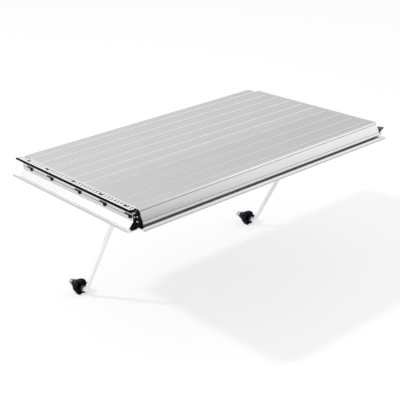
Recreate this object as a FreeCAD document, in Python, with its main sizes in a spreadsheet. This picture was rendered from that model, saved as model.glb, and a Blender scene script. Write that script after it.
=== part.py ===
import FreeCAD, Part
import math
import os
import re
import Sketcher

# Side table that widens a bench saw, in millimetres with +Z up.
# X runs away from the saw and Y runs away from the operator.
# The origin lies midway between the two bolt holes in the side that meets the saw.

os.makedirs("parts", exist_ok=True)
doc = FreeCAD.newDocument("saw_table_extension")
sheet = doc.addObject("Spreadsheet::Sheet", "Sizes")

SIZES = {
    # whole table
    "table_length": 677.0,
    "table_width": 408.0,
    "top_above_bolts": 16.0,
    "overrun": 1.0,
    "contact_gap": 0.05,
    "running_gap": 0.06,
    # planks
    "inner_plank_width": 260.0,
    "plank_skin": 3.5,
    "plank_depth": 22.0,
    "plank_web": 3.0,
    "rib_thickness": 2.5,
    "rib_foot_width": 11.0,
    "rib_foot_thickness": 4.0,
    "groove_pitch": 40.0,
    "first_groove": 25.0,
    "groove_width": 1.8,
    "groove_depth": 0.9,
    "joint_chamfer": 0.5,
    "channel_level": 8.7,
    "channel_radius": 6.5,
    # key that locks the planks, and the tongue of the same shape on the outer rail
    "tongue_level": 14.0,
    "tongue_neck": 2.4,
    "tongue_head": 7.0,
    "tongue_head_thickness": 2.0,
    # rail along the outer side, with the same section along the rear
    "rail_flange": 11.0,
    "rail_depth": 39.5,
    "rail_wall": 2.4,
    "end_gap": 3.0,
    "edge_band": 2.6,
    "step_depth": 0.8,
    "step_height": 1.0,
    "fascia_out": 8.8,
    "fascia_bottom": 20.4,
    "seam_depth": 0.8,
    "seam_height": 1.0,
    "band_out": 10.2,
    "band_bottom": 25.2,
    "gutter_undercut": 1.3,
    "gutter_mouth": 3.6,
    "gutter_floor": 33.4,
    "lip_top": 29.1,
    "lip_out": 20.6,
    "lip_bottom": 36.3,
    "lip_radius": 2.6,
    "lip_edge_radius": 1.2,
    "foot_out": 9.0,
    "lip_run_out": 8.4,
    # rail at the operator's end
    "front_flange": 7.0,
    "rail_start": 27.0,
    "carrier_back": 3.0,
    "face_out": 13.2,
    "face_bottom": 18.0,
    "face_seam_level": 9.4,
    "front_chamber_out": 7.0,
    "slant_out": 22.6,
    "slant_bottom": 30.0,
    "front_gutter_floor": 33.0,
    "front_gutter_mouth": 2.4,
    "front_lip_top": 29.2,
    "front_lip_out": 29.6,
    "front_lip_bottom": 35.2,
    "front_end_reach": 1.6,
    "front_saw_run_out": 20.6,
    "front_lip_reach": 6.0,
    "front_lip_slope": 5.0,
    # scale
    "scale_overhang": 1.5,
    "scale_end_gap": 4.5,
    "carrier_thickness": 2.6,
    "carrier_out": 13.6,
    "carrier_radius": 8.2,
    "strip_back": 2.5,
    "strip_out": 8.0,
    "strip_rim": 5.5,
    "strip_radius": 5.0,
    "strip_thickness": 0.7,
    "strip_drop": 0.1,
    "slot_length": 9.6,
    "slot_width": 4.6,
    "slot_out": 2.1,
    "scale_screw_head": 2.1,
    "scale_screw_radius": 1.3,
    "scale_screw_length": 4.2,
    "front_strip_top": 3.2,
    "front_strip_bottom": 8.4,
    "front_strip_thickness": 0.4,
    "clip_width": 12.0,
    "clip_top": 4.8,
    "clip_bottom": 12.6,
    "clip_thickness": 1.0,
    "clip_bar_reach": 11.0,
    "clip_bar_height": 2.4,
    "clip_plug_length": 5.0,
    "last_clip_inset": 4.8,
    # screws that hold the end rails to the planks
    "rail_screw_radius": 2.0,
    "rail_screw_length": 18.0,
    "rail_screw_head_radius": 3.5,
    "rail_screw_head_height": 4.0,
    "access_radius": 3.7,
    "socket_radius": 1.9,
    # corner caps
    "cap_reach": 9.6,
    "cap_bevel": 4.2,
    "cap_shoulder_depth": 4.4,
    "cap_waist_depth": 17.5,
    "cap_foot_depth": 32.5,
    "cap_tip_inset": 7.4,
    "cap_seam_out": 7.0,
    "cap_front_reach": 12.6,
    "cap_front_foot": 20.0,
    "cap_foot_spread": 4.1,
    "cap_rear_top": 12.0,
    "cap_rear_bottom": 25.5,
    "cap_rear_reach": 12.6,
    "cap_rear_ahead": 7.8,
    "cap_side_reach": 3.4,
    "cap_side_waist": 5.0,
    "cap_side_foot": 10.8,
    "cap_peak_inset": 6.6,
    "cap_peak_width": 2.4,
    "cap_arch_depth": 27.0,
    "cap_arch_width": 15.0,
    # blocks that take the saw's bolts
    "saw_block_inset": 65.5,
    "saw_block_length": 44.0,
    "saw_block_width": 22.0,
    "saw_block_wall": 12.0,
    "saw_block_roof": 7.0,
    "bolt_radius": 3.3,
    "top_screw_inset": 8.0,
    "top_screw_radius": 2.0,
    "top_screw_head_radius": 4.0,
    "top_screw_head_height": 2.2,
    "top_screw_length": 10.0,
    # struts, from the pivot under the planks to the clamping stud
    "strut_inset": 75.7,
    "strut_lean": 32.0,
    "strut_reach": 338.4,
    "pivot_past_joint": 1.0,
    "pivot_drop": 33.5,
    "rod_radius": 5.0,
    "bend_radius": 11.0,
    "rod_start": 20.0,
    "shoulder_from_bend": 7.4,
    "eye_radius": 8.0,
    "eye_thickness": 6.0,
    "eye_flat_width": 13.0,
    "eye_flat_length": 27.0,
    "heel_reach": 7.5,
    "heel_gap": 0.3,
    "stud_radius": 4.0,
    # brackets and pivot bolts
    "bracket_plate": 3.0,
    "bracket_half_width": 18.0,
    "bracket_margin": 8.0,
    "ear_thickness": 3.0,
    "ear_gap": 0.3,
    "ear_radius": 10.5,
    "ear_root": 16.0,
    "bracket_screw_spread": 12.0,
    "bracket_screw_radius": 2.0,
    "bracket_screw_head_radius": 3.8,
    "bracket_screw_head_height": 2.4,
    "pivot_radius": 4.0,
    "hex_radius": 7.5,
    "bolt_head_height": 5.3,
    "pivot_nut_height": 8.0,
    "bolt_tail": 1.6,
    # clamping end of a strut
    "hub_nut_height": 9.3,
    "hub_gap": 0.9,
    "knob_length": 28.8,
    "knob_radius": 18.6,
    "knob_clear_bore": 4.6,
    "notch_radius": 9.0,
    "notch_inset": 3.6,
    "flute_radius": 3.4,
    "flute_inset": 1.4,
    "lobe_count": 6,
    "insert_radius": 5.5,
    "insert_length": 18.0,
    "insert_flange_radius": 7.5,
    "insert_flange": 1.2,
    "washer_radius": 8.5,
    "washer_thickness": 1.6,
    "clamp_gap": 9.0,
    "tip_disc_radius": 6.3,
    "tip_disc_thickness": 3.5,
    # how deep a screw's socket goes into its head
    "socket_share": 0.55,
    # how far a knob's notches and flutes run along it, and where its flutes lie
    "notch_share": 0.64,
    "flute_share": 0.4,
    "flute_level_share": 0.6,
    # how much of its width a rounded end may take
    "round_end_share": 0.49,
}

# Places of the scale's fixings and of the end rails' screws, along each plank's width.
INNER_FIXING_SHARES = (0.1262, 0.4088, 0.7731)
OUTER_FIXING_SHARES = (0.2599, 0.827)
INNER_SCREW_SHARES = (0.2415, 0.5412, 0.925)
OUTER_SCREW_SHARE = 0.4708

# Outer half section of a knob, from its hub over the lobed rim to its small end:
# distance from the outer face as a share of the length, radius as a share of the largest.
KNOB_SHARES = (
    (0.03, 0.38), (0.18, 0.41), (0.18, 0.68), (0.035, 0.79), (0.0, 0.84), (0.0, 0.93), (0.045, 1.0),
    (0.28, 1.0), (0.38, 0.95), (0.52, 0.84), (0.68, 0.7), (0.82, 0.59), (0.92, 0.53), (0.97, 0.5), (1.0, 0.45),
)

for row, (name, size) in enumerate(SIZES.items(), start=1):
    sheet.set("A%d" % row, str(size))
    sheet.setAlias("A%d" % row, name)
doc.recompute()

nodes = {}


def named(word):
    """A size's name as the sheet knows it; any other word stays."""
    return "Sizes." + word if word in SIZES else word


def bound(text):
    """The same sum with each size's name pointing at the sheet."""
    return re.sub(r"[a-z][a-z_]+", lambda word: named(word.group(0)), text)


def value(text):
    """The number that a sum of named sizes has now."""
    return float(sheet.evalExpression(bound(text)))


def bind(thing, **sums):
    """Tie an object's properties to sums of sizes; two underscores stand for a dot."""
    for name, text in sums.items():
        thing.setExpression(name.replace("__", "."), bound(text))


def place(thing, x="0", y="0", z="0"):
    """Put an object at x, y and z, counted from the middle of the saw-side top edge."""
    bind(thing, Placement__Base__x=x, Placement__Base__y=y, Placement__Base__z="top_above_bolts + (%s)" % z)


def node(thing, label):
    """Name an object as one sub-part of the table."""
    thing.Label = label
    nodes[label] = thing
    return thing


def body(label, x="0", y="0", z="0"):
    """A new body for one sub-part."""
    made = node(doc.addObject("PartDesign::Body", label), label)
    place(made, x, y, z)
    return made


# Sketches, with every point tied to the sheet

def sketch(owner, plane, name, lift="0"):
    """A sketch on one of the body's own planes, lifted along the plane's normal."""
    made = owner.newObject("Sketcher::SketchObject", name)
    support = [part for part in owner.Origin.OriginFeatures if part.Role == plane][0]
    made.AttachmentSupport = [(support, "")]
    made.MapMode = "FlatFace"
    bind(made, AttachmentOffset__Base__z=lift)
    return made


def pin_point(drawn, geometry, position, u, v):
    """Fix a point of the sketch at the sums u and v."""
    for kind, text in (("DistanceX", u), ("DistanceY", v)):
        index = drawn.addConstraint(Sketcher.Constraint(kind, -1, 1, geometry, position, value(text)))
        drawn.setExpression("Constraints[%d]" % index, bound(text))


def outline(drawn, points):
    """A closed outline of straight edges through points given as pairs of sums."""
    corners = [FreeCAD.Vector(value(u), value(v), 0) for u, v in points]
    start = drawn.GeometryCount
    count = len(points)
    for index in range(count):
        drawn.addGeometry(Part.LineSegment(corners[index], corners[(index + 1) % count]))
    for index in range(count):
        following = start + (index + 1) % count
        drawn.addConstraint(Sketcher.Constraint("Coincident", start + index, 2, following, 1))
    for index, (u, v) in enumerate(points):
        pin_point(drawn, start + index, 1, u, v)


def rectangle(drawn, left, low, right, high):
    """A rectangle from its four sides."""
    outline(drawn, [(left, low), (right, low), (right, high), (left, high)])


def circle(drawn, u, v, radius):
    """A circle round the point u, v."""
    centre = FreeCAD.Vector(value(u), value(v), 0)
    index = drawn.addGeometry(Part.Circle(centre, FreeCAD.Vector(0, 0, 1), value(radius)))
    pin_point(drawn, index, 3, u, v)
    constraint = drawn.addConstraint(Sketcher.Constraint("Radius", index, value(radius)))
    drawn.setExpression("Constraints[%d]" % constraint, bound(radius))


# Features of a body

def extrude(owner, kind, profile, length, other, symmetric, backwards):
    """A pad or pocket of the given length, to one side, to both or symmetric."""
    made = owner.newObject("PartDesign::" + kind, profile.Name + "_" + kind.lower())
    made.Profile = profile
    made.Reversed = backwards
    bind(made, Length=length)
    if symmetric:
        made.SideType = "Symmetric"
    if other is not None:
        made.SideType = "Two sides"
        bind(made, Length2=other)
    return made


def pad(owner, profile, length, other=None, symmetric=False, backwards=False):
    """Material added along the sketch's normal."""
    return extrude(owner, "Pad", profile, length, other, symmetric, backwards)


def pocket(owner, profile, length, symmetric=False, backwards=False):
    """Material cut away against the sketch's normal; the body has to lose volume."""
    doc.recompute()
    before = owner.Shape.Volume
    made = extrude(owner, "Pocket", profile, length, None, symmetric, backwards)
    doc.recompute()
    if owner.Shape.Volume >= before:
        raise ValueError(profile.Name + " cuts nothing")
    return made


def row_of(owner, feature, profile, pitch, count):
    """Copies of a feature in a row along the sketch's first axis."""
    made = owner.newObject("PartDesign::LinearPattern", profile.Name + "_row")
    made.Originals = [feature]
    made.Direction = (profile, ["H_Axis"])
    bind(made, Length="(%s) * ((%s) - 1)" % (pitch, count), Occurrences=count)
    owner.Tip = made
    return made


def ring_of(owner, feature, profile, count):
    """Copies of a feature spread evenly round the sketch's normal."""
    made = owner.newObject("PartDesign::PolarPattern", profile.Name + "_ring")
    made.Originals = [feature]
    made.Axis = (profile, ["N_Axis"])
    made.Angle = 360
    bind(made, Occurrences=count)
    owner.Tip = made
    return made


def rounded(owner, feature, name, radius, axis, spots):
    """Round the edges that run along an axis through the given points of the section."""
    doc.recompute()
    chosen = []
    for index, edge in enumerate(feature.Shape.Edges, start=1):
        ends = [vertex.Point for vertex in edge.Vertexes]
        if any(all(lies_on(end, axis, spot) for end in ends) for spot in spots):
            chosen.append("Edge%d" % index)
    made = owner.newObject("PartDesign::Fillet", name)
    made.Base = (feature, chosen)
    bind(made, Radius=radius)
    return made


def lies_on(point, axis, spot):
    """Whether a point lies on the line along an axis through a spot of the section."""
    across = {"x": (point.y, point.z), "y": (point.x, point.z), "z": (point.x, point.y)}[axis]
    reach = value("contact_gap")
    return abs(across[0] - value(spot[0])) < reach and abs(across[1] - value(spot[1])) < reach


# Turned pieces and fasteners, from simple solids

TURNS = {
    "x": FreeCAD.Rotation(FreeCAD.Vector(0, 1, 0), 90),
    "-x": FreeCAD.Rotation(FreeCAD.Vector(0, 1, 0), -90),
    "y": FreeCAD.Rotation(FreeCAD.Vector(1, 0, 0), -90),
    "-y": FreeCAD.Rotation(FreeCAD.Vector(1, 0, 0), 90),
    "z": FreeCAD.Rotation(FreeCAD.Vector(0, 0, 1), 0),
    "-z": FreeCAD.Rotation(FreeCAD.Vector(1, 0, 0), 180),
}


def shifted(point, direction, distance):
    """A point moved a distance along a signed axis, as three sums."""
    sign = "-" if direction.startswith("-") else "+"
    return tuple(
        "%s %s (%s)" % (coordinate, sign, distance) if axis == direction[-1] else coordinate
        for axis, coordinate in zip("xyz", point))


def solid(kind, point, direction, **sums):
    """A simple solid that starts at a point and grows along a signed axis."""
    made = doc.addObject("Part::" + kind, kind.lower())
    made.Placement = FreeCAD.Placement(FreeCAD.Vector(), TURNS[direction])
    bind(made, Placement__Base__x=point[0], Placement__Base__y=point[1], Placement__Base__z=point[2])
    bind(made, **sums)
    return made


def bar(point, direction, radius, height):
    """A round bar."""
    return solid("Cylinder", point, direction, Radius=radius, Height=height)


def hexagon(point, direction, radius, height):
    """A six-sided bar, with its radius over the corners."""
    return solid("Prism", point, direction, Circumradius=radius, Height=height)


def taper(point, direction, first, second, height):
    """A cone from the first radius to the second."""
    return solid("Cone", point, direction, Radius1=first, Radius2=second, Height=height)


def joined(*parts):
    """Several shapes as one solid."""
    made = doc.addObject("Part::MultiFuse", "joined")
    made.Shapes = list(parts)
    return made


def cut(base, tool):
    """One shape with another taken out of it."""
    made = doc.addObject("Part::Cut", "cut_piece")
    made.Base = base
    made.Tool = tool
    return made


def bored(blank, point, direction, radius, height):
    """A blank with a hole that runs past both of its faces."""
    return cut(blank, bar(shifted(point, direction, "-overrun"), direction, radius, height + " + 2 * overrun"))


def finished(thing, label):
    """A simple solid as a sub-part of its own."""
    place(thing)
    return node(thing, label)


def group(label, parts):
    """Identical pieces that share one node."""
    made = doc.addObject("Part::Compound", label)
    made.Links = list(parts)
    return finished(made, label)


def socket_screw(seat, direction, radius, length, head_radius, head_height):
    """A cap screw whose head rests on the seat and whose shank runs on along the direction."""
    head = bar(shifted(seat, direction, "-(%s)" % head_height), direction, head_radius, head_height)
    shank = bar(seat, direction, radius, length)
    mouth = shifted(seat, direction, "-(%s) - overrun" % head_height)
    socket = hexagon(mouth, direction, "min(socket_radius; (%s) / 2)" % head_radius,
                     "socket_share * (%s) + overrun" % head_height)
    return cut(joined(head, shank), socket)


# Planks: extrusions that carry the work, flat and grooved on top and ribbed underneath

PLANK_SPAN = dict(length="table_length / 2 - front_flange", other="table_length / 2 - rail_flange")
TONGUE_LOW = "-tongue_level - tongue_neck / 2"
TONGUE_HIGH = "-tongue_level + tongue_neck / 2"
SAW_BLOCK_OFFSET = "(table_length / 2 - saw_block_inset)"
STRUT_OFFSET = "(table_length / 2 - strut_inset)"
PIVOT_X = "(inner_plank_width + pivot_past_joint)"
OUTER_PLANK_WIDTH = "(table_width - rail_flange - inner_plank_width)"
FIXINGS = ["inner_plank_width * %s" % share for share in INNER_FIXING_SHARES]
FIXINGS += ["inner_plank_width + %s * %s" % (OUTER_PLANK_WIDTH, share) for share in OUTER_FIXING_SHARES]
INNER_SCREWS = ["inner_plank_width * %s" % share for share in INNER_SCREW_SHARES]
OUTER_SCREWS = ["inner_plank_width + %s * %s" % (OUTER_PLANK_WIDTH, OUTER_SCREW_SHARE)]
SCREWS = INNER_SCREWS + OUTER_SCREWS
CLIPS = SCREWS + ["table_width - last_clip_inset"]


def places(first, end):
    """How many places a groove pitch apart fit from the first one up to the end."""
    return "(floor((%s - (%s)) / groove_pitch) + 1)" % (end, first)


def grooves_in(width, first):
    """How many grooves a plank of this width has room for."""
    return places(first, width + " - joint_chamfer - groove_width / 2")


def ribs_in(width, first):
    """How many ribs, with their feet, a plank of this width has room for."""
    return places(first, width + " - plank_web - rib_foot_width / 2")


def plank(label, left, width, first_groove, first_rib, channels):
    """One plank: its saw-side edge is at zero, its section runs along Y."""
    made = body(label, x=left)
    skin = sketch(made, "XZ_Plane", label + "_skin")
    outline(skin, [("0", "-joint_chamfer"), ("joint_chamfer", "0"), (width + " - joint_chamfer", "0"),
                   (width, "-joint_chamfer"), (width, "-plank_skin"), ("0", "-plank_skin")])
    pad(made, skin, **PLANK_SPAN)
    webs = sketch(made, "XZ_Plane", label + "_webs")
    rectangle(webs, "0", "-plank_depth", "plank_web", "-plank_skin / 2")
    rectangle(webs, width + " - plank_web", "-plank_depth", width, "-plank_skin / 2")
    pad(made, webs, **PLANK_SPAN)
    rib = sketch(made, "XZ_Plane", label + "_rib")
    knee = "-plank_depth + rib_foot_thickness"
    outline(rib, [(first_rib + " - rib_thickness / 2", "-plank_skin / 2"),
                  (first_rib + " - rib_thickness / 2", knee), (first_rib + " - rib_foot_width / 2", knee),
                  (first_rib + " - rib_foot_width / 2", "-plank_depth"),
                  (first_rib + " + rib_foot_width / 2", "-plank_depth"),
                  (first_rib + " + rib_foot_width / 2", knee), (first_rib + " + rib_thickness / 2", knee),
                  (first_rib + " + rib_thickness / 2", "-plank_skin / 2")])
    row_of(made, pad(made, rib, **PLANK_SPAN), rib, "groove_pitch", ribs_in(width, first_rib))
    ducts = sketch(made, "XZ_Plane", label + "_ducts")
    bores = sketch(made, "XZ_Plane", label + "_bores")
    for across in channels:
        circle(ducts, "%s - (%s)" % (across, left), "-channel_level", "channel_radius")
        circle(bores, "%s - (%s)" % (across, left), "-channel_level", "rail_screw_radius + contact_gap")
    pad(made, ducts, **PLANK_SPAN)
    pocket(made, bores, "table_length", symmetric=True)
    groove = sketch(made, "XZ_Plane", label + "_groove")
    outline(groove, [(first_groove + " - groove_width / 2", "overrun"),
                     (first_groove + " + groove_width / 2", "overrun"),
                     (first_groove + " + groove_width / 2", "0"),
                     (first_groove + " + groove_width / 4", "-groove_depth"),
                     (first_groove + " - groove_width / 4", "-groove_depth"),
                     (first_groove + " - groove_width / 2", "0")])
    row_of(made, pocket(made, groove, "table_length", symmetric=True), groove, "groove_pitch",
           grooves_in(width, first_groove))
    return made


def key_slot(made, name, left, right):
    """Slot in a plank's edge for the neck of a key or tongue."""
    slot = sketch(made, "XZ_Plane", name)
    rectangle(slot, left, TONGUE_LOW + " - contact_gap", right, TONGUE_HIGH + " + contact_gap")
    pocket(made, slot, "table_length", symmetric=True)


def bracket_threads(made, name, across):
    """Threads in a rib's foot for the strut brackets' screws."""
    threads = sketch(made, "XY_Plane", name, lift="-plank_depth")
    for offset in ("-" + STRUT_OFFSET, STRUT_OFFSET):
        for spread in (" - bracket_screw_spread", " + bracket_screw_spread"):
            circle(threads, across, offset + spread, "bracket_screw_radius + contact_gap")
    pocket(made, threads, "rib_foot_thickness + overrun", backwards=True)


INNER_GROOVES = grooves_in("inner_plank_width", "first_groove")
INNER_RIB = "(first_groove + groove_pitch / 2)"
LAST_INNER_RIB = "(%s + groove_pitch * (%s - 1))" % (INNER_RIB, ribs_in("inner_plank_width", INNER_RIB))
OUTER_GROOVE = "(first_groove + groove_pitch * %s - inner_plank_width)" % INNER_GROOVES
OUTER_RIB = "(%s + groove_pitch / 2)" % OUTER_GROOVE
FIRST_OUTER_RIB = "(inner_plank_width + %s)" % OUTER_RIB

inner = plank("inner_plank", "0", "inner_plank_width", "first_groove", INNER_RIB, INNER_SCREWS)
key_slot(inner, "inner_plank_key_slot", "inner_plank_width - plank_web - contact_gap",
         "inner_plank_width + overrun")
bracket_threads(inner, "inner_plank_threads", LAST_INNER_RIB)
saw_bores = sketch(inner, "YZ_Plane", "inner_plank_saw_bores")
sinks = sketch(inner, "XY_Plane", "inner_plank_sinks")
screw_holes = sketch(inner, "XY_Plane", "inner_plank_screw_holes")
for offset in ("-" + SAW_BLOCK_OFFSET, SAW_BLOCK_OFFSET):
    circle(saw_bores, offset, "-top_above_bolts", "bolt_radius")
    circle(sinks, "top_screw_inset", offset, "top_screw_head_radius + contact_gap")
    circle(screw_holes, "top_screw_inset", offset, "top_screw_radius + contact_gap")
pocket(inner, saw_bores, "2 * (plank_web + overrun)", symmetric=True)
pocket(inner, sinks, "top_screw_head_height")
pocket(inner, screw_holes, "plank_skin + overrun")

outer = plank("outer_plank", "inner_plank_width", OUTER_PLANK_WIDTH, OUTER_GROOVE, OUTER_RIB, OUTER_SCREWS)
key_slot(outer, "outer_plank_key_slot", "-overrun", "plank_web + contact_gap")
key_slot(outer, "outer_plank_tongue_slot", OUTER_PLANK_WIDTH + " - plank_web - contact_gap",
         OUTER_PLANK_WIDTH + " + overrun")
bracket_threads(outer, "outer_plank_threads", OUTER_RIB)


def tongue(root, sign):
    """A tongue's section from its root round its head and back, to one side of the root."""
    neck_end = "%s %s (plank_web + contact_gap)" % (root, sign)
    head_end = "%s %s (plank_web + contact_gap + tongue_head_thickness)" % (root, sign)
    return [(root, TONGUE_LOW), (neck_end, TONGUE_LOW), (neck_end, "-tongue_level - tongue_head / 2"),
            (head_end, "-tongue_level - tongue_head / 2"), (head_end, "-tongue_level + tongue_head / 2"),
            (neck_end, "-tongue_level + tongue_head / 2"), (neck_end, TONGUE_HIGH), (root, TONGUE_HIGH)]


key = body("plank_key", x="inner_plank_width")
key_section = sketch(key, "XZ_Plane", "plank_key_section")
outline(key_section, tongue("0", "+")[1:-1] + list(reversed(tongue("0", "-")[1:-1])))
pad(key, key_section, **PLANK_SPAN)

# Rails: one section for the outer side and the rear, another for the operator's end

SIDE_SECTION = [
    ("0", "0"), ("0", "edge_band"), ("-step_depth", "edge_band"), ("-step_depth", "edge_band + step_height"),
    ("0", "edge_band + step_height"), ("fascia_out", "fascia_bottom"),
    ("fascia_out - seam_depth", "fascia_bottom + seam_height / 2"), ("fascia_out", "fascia_bottom + seam_height"),
    ("band_out", "band_bottom"), ("band_out", "band_bottom + seam_height"),
    ("band_out - gutter_undercut", "band_bottom + seam_height + gutter_undercut"),
    ("band_out - gutter_undercut", "gutter_floor"), ("band_out + gutter_mouth", "gutter_floor"),
    ("band_out + gutter_mouth", "lip_top"), ("lip_out", "lip_top"), ("lip_out", "lip_bottom"),
    ("foot_out", "lip_bottom"), ("foot_out", "rail_depth"), ("-rail_flange", "rail_depth"), ("-rail_flange", "0"),
]
SIDE_HOLLOW = [
    ("-rail_flange + rail_wall", "edge_band"), ("-step_depth - rail_wall", "edge_band"),
    ("-step_depth - rail_wall", "edge_band + step_height"),
    ("fascia_out - seam_depth - rail_wall", "fascia_bottom + seam_height / 2"),
    ("band_out - gutter_undercut - rail_wall", "gutter_floor"),
    ("band_out - gutter_undercut - rail_wall", "rail_depth - rail_wall"),
    ("-rail_flange + rail_wall", "rail_depth - rail_wall"),
]
SIDE_LIP = [("lip_out", "lip_bottom"), ("lip_out", "lip_top")]
SIDE_SOFT = [("band_out + gutter_mouth", "lip_top")]

FRONT_SECTION = [
    ("-carrier_back", "0"), ("-carrier_back", "carrier_thickness"), ("face_out", "carrier_thickness"),
    ("face_out", "face_seam_level - seam_height / 2"), ("face_out - seam_depth", "face_seam_level"),
    ("face_out", "face_seam_level + seam_height / 2"), ("face_out", "face_bottom"),
    ("slant_out", "slant_bottom"), ("slant_out", "slant_bottom + seam_height"),
    ("slant_out - gutter_undercut", "slant_bottom + seam_height + gutter_undercut"),
    ("slant_out - gutter_undercut", "front_gutter_floor"), ("slant_out + front_gutter_mouth", "front_gutter_floor"),
    ("slant_out + front_gutter_mouth", "front_lip_top"), ("front_lip_out", "front_lip_top"),
    ("front_lip_out", "front_lip_bottom"), ("slant_out - gutter_undercut - rail_wall", "front_lip_bottom"),
    ("slant_out - gutter_undercut - rail_wall", "rail_depth"), ("-front_flange", "rail_depth"),
    ("-front_flange", "0"),
]
FRONT_HOLLOW = [
    ("-front_flange + rail_wall", "carrier_thickness + rail_wall"),
    ("front_chamber_out", "carrier_thickness + rail_wall"), ("front_chamber_out", "face_bottom"),
    ("slant_out - gutter_undercut - 2 * rail_wall", "slant_bottom"),
    ("slant_out - gutter_undercut - 2 * rail_wall", "rail_depth - rail_wall"),
    ("-front_flange + rail_wall", "rail_depth - rail_wall"),
]
FRONT_LIP = [("front_lip_out", "front_lip_bottom"), ("front_lip_out", "front_lip_top")]
FRONT_SOFT = [("slant_out + front_gutter_mouth", "front_lip_top")]


def facing(points, sign=""):
    """Pairs of distance out and depth as a sketch's own two sums."""
    return [("%s(%s)" % (sign, out), "-(%s)" % depth) for out, depth in points]


def rail(made, plane, section, hollow, lip, soft, length, **how):
    """A rail: its bar with a rounded lip and the chamber that runs through it."""
    drawn = sketch(made, plane, made.Label + "_section")
    outline(drawn, section)
    axis = "y" if plane == "XZ_Plane" else "x"
    blank = pad(made, drawn, length, **how)
    blank = rounded(made, blank, made.Label + "_lip", "lip_radius", axis, lip)
    rounded(made, blank, made.Label + "_soft_edges", "lip_edge_radius", axis, soft)
    inside = sketch(made, plane, made.Label + "_hollow")
    outline(inside, hollow)
    pocket(made, inside, "3 * table_length", symmetric=True)


def trim(made, name, points):
    """A piece of the rail cut off along an outline seen from above."""
    drawn = sketch(made, "XY_Plane", made.Label + "_" + name)
    outline(drawn, points)
    pocket(made, drawn, "3 * rail_depth", symmetric=True)


RAIL_END = "table_length / 2 - end_gap"
SLANT_START = "cap_side_foot + contact_gap"

side = body("outer_rail", x="table_width")
SIDE_OUTLINE = facing(SIDE_SECTION[:-1]) + tongue("-rail_flange", "-") + facing(SIDE_SECTION[-1:])
rail(side, "XZ_Plane", SIDE_OUTLINE, facing(SIDE_HOLLOW),
     facing(SIDE_LIP), facing(SIDE_SOFT), "2 * (%s + lip_run_out)" % RAIL_END, symmetric=True)
for name, sign in (("front", "-"), ("rear", "")):
    trim(side, name + "_end", [
        ("-2 * rail_flange", "%s(%s)" % (sign, RAIL_END)), (SLANT_START, "%s(%s)" % (sign, RAIL_END)),
        ("lip_out + overrun", "%s(%s + lip_run_out)" % (sign, RAIL_END)),
        ("lip_out + overrun", "%s(%s + lip_run_out + overrun)" % (sign, RAIL_END)),
        ("-2 * rail_flange", "%s(%s + lip_run_out + overrun)" % (sign, RAIL_END))])
trim(side, "tongue_end", [
    ("-2 * rail_flange", "-table_length / 2"), ("-rail_flange", "-table_length / 2"),
    ("-rail_flange", "-table_length / 2 + front_flange"),
    ("-2 * rail_flange", "-table_length / 2 + front_flange")])
trim(side, "mitre", [
    ("-2 * rail_flange", "table_length / 2 - rail_flange"), ("-rail_flange", "table_length / 2 - rail_flange"),
    ("overrun", "table_length / 2 + overrun"), ("-2 * rail_flange", "table_length / 2 + overrun")])

# The end rails count X from their start and Y from the table's end.
RAIL_TO_CORNER = "(table_width - rail_start)"
rear = body("rear_rail", x="rail_start", y="table_length / 2")
rail(rear, "YZ_Plane", facing(SIDE_SECTION), facing(SIDE_HOLLOW), facing(SIDE_LIP), facing(SIDE_SOFT),
     RAIL_TO_CORNER + " - end_gap")
trim(rear, "mitre", [
    (RAIL_TO_CORNER + " - rail_flange", "-rail_flange"), (RAIL_TO_CORNER + " + overrun", "overrun"),
    (RAIL_TO_CORNER + " + overrun", "-2 * rail_flange"), (RAIL_TO_CORNER + " - rail_flange", "-2 * rail_flange")])

front = body("front_rail", x="rail_start", y="-table_length / 2")
FRONT_END = "(%s + front_end_reach)" % RAIL_TO_CORNER
rail(front, "YZ_Plane", facing(FRONT_SECTION, "-"), facing(FRONT_HOLLOW, "-"), facing(FRONT_LIP, "-"),
     facing(FRONT_SOFT, "-"), FRONT_END + " + front_lip_reach", other="front_saw_run_out")
trim(front, "outer_end", [
    (RAIL_TO_CORNER + " - rail_flange", "2 * front_flange"), (RAIL_TO_CORNER + " - rail_flange", "end_gap"),
    (RAIL_TO_CORNER + " - cap_tip_inset", "end_gap"), (FRONT_END, "-cap_seam_out"), (FRONT_END, "-slant_out"),
    (FRONT_END + " + front_lip_reach", "-slant_out"),
    (FRONT_END + " + front_lip_reach - front_lip_slope", "-front_lip_out"),
    (FRONT_END + " + front_lip_reach - front_lip_slope", "-front_lip_out - overrun"),
    (FRONT_END + " + front_lip_reach + overrun", "-front_lip_out - overrun"),
    (FRONT_END + " + front_lip_reach + overrun", "2 * front_flange")])
trim(front, "saw_end", [
    ("0", "2 * front_flange"), ("0", "-slant_out"), ("-front_saw_run_out", "-front_lip_out"),
    ("-front_saw_run_out", "-front_lip_out - overrun"),
    ("-front_saw_run_out - overrun", "-front_lip_out - overrun"),
    ("-front_saw_run_out - overrun", "2 * front_flange")])
end_slope = sketch(front, "XZ_Plane", "front_rail_end_slope", lift="slant_out")
outline(end_slope, [
    (FRONT_END, "-cap_waist_depth"), (FRONT_END + " - cap_foot_spread", "-cap_foot_depth"),
    (FRONT_END + " - cap_foot_spread", "-rail_depth - overrun"),
    (FRONT_END + " + overrun", "-rail_depth - overrun"), (FRONT_END + " + overrun", "-cap_waist_depth")])
pocket(front, end_slope, "slant_out + 2 * front_flange")


def screw_passages(made, mouths, web_face, reach, outwards):
    """Holes for the screws in the rail's inner web, and wider mouths outside that let them in."""
    holes = sketch(made, "XZ_Plane", made.Label + "_screw_holes")
    access = sketch(made, "XZ_Plane", made.Label + "_access_holes", lift=web_face)
    for across in SCREWS:
        circle(holes, across + " - rail_start", "-channel_level", "rail_screw_radius + contact_gap")
    for across in mouths:
        circle(access, across + " - rail_start", "-channel_level", "access_radius")
    pocket(made, holes, "2 * (rail_flange + overrun)", symmetric=True)
    pocket(made, access, reach, backwards=outwards)


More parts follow.
